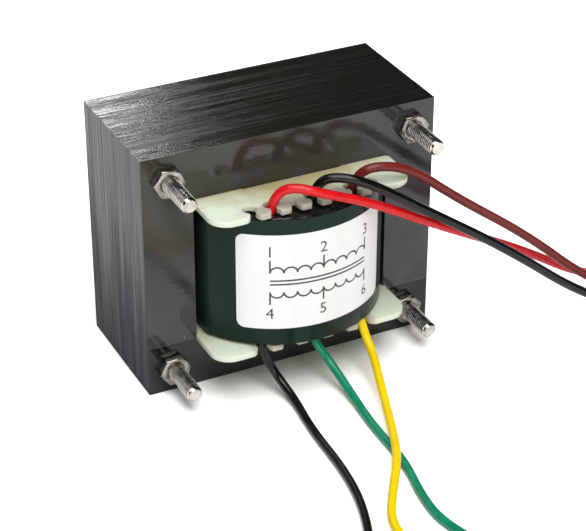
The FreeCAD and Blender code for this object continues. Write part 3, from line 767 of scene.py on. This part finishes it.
# Each lead's slot, diameter, length, colour, colour where it is marked, roughness, and the points
# of its route in millimetres from the end tape to where it is stripped
LEADS = {
    "red_lead": (
        "red_insulation", UPPER_LEAD, 0.1419, (0.76, 0.009, 0.014), (0.60, 0.006, 0.010), 0.2, [
            (-10.4, -27.2, 48.6), (-9.4, -27.5, 52.9), (-6, -29.5, 55.5), (1, -33, 53.5),
            (13.4, -32.6, 48.1), (33.5, -32.2, 36.3), (60, -26.5, 20.4), (80, -24.5, 6.8),
            (96, -22.5, 1.3), (112, -23.5, 1.2)]),
    "black_upper_lead": (
        "black_insulation", UPPER_LEAD, 0.1288, (0.003, 0.003, 0.003), (0.006, 0.006, 0.006), 0.14, [
            (0, -27.2, 48.6), (1, -27.5, 52.9), (4.5, -29, 55.5), (12, -33, 54),
            (26, -34.5, 44.3), (49, -35.5, 28.4), (74, -36, 8), (91, -37.5, 1.3),
            (107, -41, 1.2)]),
    "brown_lead": (
        "brown_insulation", UPPER_LEAD, 0.1223, (0.19, 0.016, 0.013), (0.13, 0.010, 0.009), 0.24, [
            (10.4, -27.2, 48.6), (11.4, -27.5, 52.9), (15.5, -29, 55.6), (24.5, -30.5, 53.6),
            (38, -30.5, 42.2), (59.3, -29, 26.2), (78.3, -31.5, 9), (95, -33, 1.5),
            (111, -31.5, 1.2)]),
    "black_lower_lead": (
        "black_insulation", LOWER_LEAD, 0.1178, (0.003, 0.003, 0.003), (0.006, 0.006, 0.006), 0.12, [
            (-13.4, -27.2, 14.9), (-12.7, -28.1, 10.8), (-9.8, -29.9, 4.6), (-8.2, -36.3, 1.1),
            (-10, -48.5, 1.1), (-10.5, -66, 1.1), (-13, -80, 1.1), (-19.5, -96, 1.1),
            (-22, -116, 1.1), (-18, -134, 1.1)]),
    "green_lead": (
        "green_insulation", LOWER_LEAD, 0.1195, (0.006, 0.29, 0.15), (0.005, 0.21, 0.11), 0.14, [
            (0.1, -27.2, 14.9), (0.6, -28.3, 11.2), (3.6, -31.3, 5.8), (4.7, -39.5, 2),
            (3.5, -54, 1.1), (3.5, -69, 1.1), (0.5, -82, 1.1), (0, -92.5, 1.1),
            (5.5, -107, 1.1), (9, -123, 1.1), (8, -138, 1.1)]),
    "yellow_lead": (
        "yellow_insulation", LOWER_LEAD, 0.1125, (1.0, 0.74, 0.0), (0.95, 0.62, 0.0), 0.2, [
            (13.5, -27.2, 14.9), (14.2, -28.6, 10.2), (14.3, -33.5, 6.2), (10.5, -45, 4.2),
            (5, -60.5, 3.6), (1, -70, 3.5), (-5, -78.5, 1.8), (-10.5, -87.5, 1.1),
            (-10, -98, 1.1), (-2.5, -111, 1.1), (1.5, -127, 1.1)]),
}


def draw_lead(name, slot, diameter, length, color, marked, roughness, route):
    """A free cord on a smooth line along its route, with bare strands at its end."""
    curve = bpy.data.curves.new(name, "CURVE")
    curve.dimensions = "3D"
    curve.bevel_depth = diameter / 2
    curve.bevel_resolution = 6
    curve.resolution_u = 16
    curve.use_fill_caps = True
    spline = curve.splines.new("NURBS")
    spline.points.add(len(route) - 1)
    for point, place in zip(spline.points, route):
        point.co = (*[number * MM for number in place], 1)
    spline.order_u = 3
    spline.use_endpoint_u = True
    curve.materials.append(lead_rubber(f"{name}_rubber", color, marked, roughness))
    lead = bpy.data.objects.new(f"{name}_cord", curve)
    bpy.context.scene.collection.objects.link(lead)
    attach(lead, "root")
    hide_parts(name)
    strands = twist_strands(name, Vector(route[-2]) * MM, Vector(route[-1]) * MM)


def twist_strands(name, before, end):
    """Tinned strands with a slow twist round a middle one, where the lead is stripped."""
    along = (end - before).normalized()
    aside = along.cross(Vector((0, 0, 1))).normalized()
    above = aside.cross(along)
    curve = bpy.data.curves.new(f"{name}_strands", "CURVE")
    curve.dimensions = "3D"
    curve.bevel_depth = STRAND_RADIUS
    curve.bevel_resolution = 2
    curve.use_fill_caps = True
    for strand in range(OUTER_STRANDS + 1):
        from_middle = 0 if strand == OUTER_STRANDS else 2 * STRAND_RADIUS
        line = curve.splines.new("POLY")
        line.points.add(STRAND_STEPS)
        for step, point in enumerate(line.points):
            share = step / STRAND_STEPS
            angle = math.tau * (strand / OUTER_STRANDS + STRAND_TURNS * share)
            place = end + along * (STRIPPED * share - STRAND_ROOT * (1 - share))
            place += (aside * math.cos(angle) + above * math.sin(angle)) * from_middle
            point.co = (*place, 1)
    holder = bpy.data.objects.new(f"{name}_strands", curve)
    mesh = bpy.data.meshes.new_from_object(holder)
    bpy.data.objects.remove(holder)
    bpy.data.curves.remove(curve)
    return make_piece(f"{name}_strands", mesh, PLATED, "tinned_strands", f"{name}_tip")


# Studio. The floor is one plain surface whose colour depends on what sees it: a plain pale one for
# the light, one that brightens away from the part for reflections in metal, and for the camera one
# with a painted shadow, dark close under the part and brightening away from it.

FLOOR_REACH = 6.0
FLOOR_LIT = (0.95, 0.95, 0.95)
FLOOR_BRIGHT = (1.8, 1.8, 1.8)
FLOOR_IN_METAL = (1.08, 1.08, 1.08)
FLOOR_PAINTED_SHADOW = (0.60, 0.60, 0.58)


def floor_paint():
    paint = Surface("white_floor")
    paint.nodes.remove(paint.shader)
    coordinates = paint.nodes.new("ShaderNodeTexCoord")
    away = paint.nodes.new("ShaderNodeVectorMath")
    away.operation = "LENGTH"
    paint.feed(away.inputs[0], coordinates.outputs["Object"])
    path = paint.nodes.new("ShaderNodeLightPath")
    mirrored = paint.calculate("MAXIMUM", path.outputs["Is Glossy Ray"],
                               path.outputs["Is Transmission Ray"])
    in_metal = paint.mix(paint.spread(away.outputs["Value"], 0.06, 0.4), FLOOR_IN_METAL,
                         FLOOR_BRIGHT)
    # painted shadow: to the camera the floor is darker close under the part's middle
    in_view = paint.mix(paint.spread(away.outputs["Value"], 0.022, 0.046), FLOOR_PAINTED_SHADOW,
                        FLOOR_BRIGHT)
    lit = paint.mix(mirrored, FLOOR_LIT, in_metal)
    matte = paint.nodes.new("ShaderNodeBsdfDiffuse")
    paint.feed(matte.inputs["Color"], paint.mix(path.outputs["Is Camera Ray"], lit, in_view))
    paint.feed(paint.nodes["Material Output"].inputs["Surface"], matte.outputs["BSDF"])
    return paint.material


def build_floor():
    mesh = bpy.data.meshes.new("floor")
    corners = [(FLOOR_REACH * x, FLOOR_REACH * y, 0) for x, y in ((-1, -1), (1, -1), (1, 1), (-1, 1))]
    mesh.from_pydata(corners, [], [(0, 1, 2, 3)])
    mesh.materials.append(floor_paint())
    floor = bpy.data.objects.new("floor", mesh)
    bpy.context.scene.collection.objects.link(floor)


def build_world():
    """White to the camera, and almost no light on the part."""
    world = bpy.data.worlds.new("studio")
    world.use_nodes = True
    bpy.context.scene.world = world
    sky = ShaderTree(world.node_tree)
    path = sky.nodes.new("ShaderNodeLightPath")
    backdrop = sky.nodes["Background"]
    sky.feed(backdrop.inputs["Color"], (1, 1, 1))
    sky.feed(backdrop.inputs["Strength"], sky.spread(path.outputs["Is Camera Ray"], 0, 1, 0.04, 1.0))


def add_lamp(name, place, target, width, height, power):
    """A soft rectangular lamp, with its sides in metres and its power in watts."""
    light = bpy.data.lights.new(name, "AREA")
    light.shape = "RECTANGLE"
    light.size = width
    light.size_y = height
    light.energy = power
    lamp = bpy.data.objects.new(name, light)
    lamp.location = place
    lamp.rotation_euler = (Vector(target) - Vector(place)).to_track_quat("-Z", "Y").to_euler()
    bpy.context.scene.collection.objects.link(lamp)


def build_lamps():
    middle = (0, 0, 0.03)
    add_lamp("overhead", (-0.05, -0.15, 1.90), middle, 1.3, 1.3, 19)
    add_lamp("front_key", (-0.22, -1.14, 1.50), middle, 1.2, 1.0, 24)
    add_lamp("low_front_card", (-0.40, -1.60, 0.12), middle, 1.6, 0.22, 4.5)
    add_lamp("rear_left_card", (-0.85, 1.75, 1.25), middle, 1.2, 0.8, 5.3)
    add_lamp("rear_sheen", (0.49, 1.58, 0.87), middle, 0.17, 0.17, 1.8)


def build_camera():
    azimuth = math.radians(-26.453)
    elevation = math.radians(30.781)
    roll = math.radians(0.156)
    distance = 477.724 * MM
    shift_right = 8.102 * MM
    shift_up = -12.539 * MM
    focal_pixels = 1932.39
    picture_width = 586
    back = Vector((math.sin(azimuth) * math.cos(elevation), -math.cos(azimuth) * math.cos(elevation),
                   math.sin(elevation)))
    right = Vector((0, 0, 1)).cross(back).normalized()
    up = back.cross(right)
    right, up = (right * math.cos(roll) + up * math.sin(roll),
                 up * math.cos(roll) - right * math.sin(roll))
    data = bpy.data.cameras.new("camera")
    data.sensor_width = 36
    data.lens = data.sensor_width * focal_pixels / picture_width
    data.clip_start = 0.01
    camera = bpy.data.objects.new("camera", data)
    place = Vector((0, 0, CORE_HEIGHT / 2)) + back * distance + right * shift_right + up * shift_up
    axes = Matrix((right, up, back)).transposed().to_4x4()
    camera.matrix_world = Matrix.Translation(place) @ axes
    bpy.context.scene.collection.objects.link(camera)
    bpy.context.scene.camera = camera


build_camera()
for lead_name, lead_facts in LEADS.items():
    draw_lead(lead_name, *lead_facts)
build_core()
build_coil()
build_label()
build_print()
build_hardware()
build_floor()
build_world()
build_lamps()
bpy.context.scene.view_settings.view_transform = "Standard"
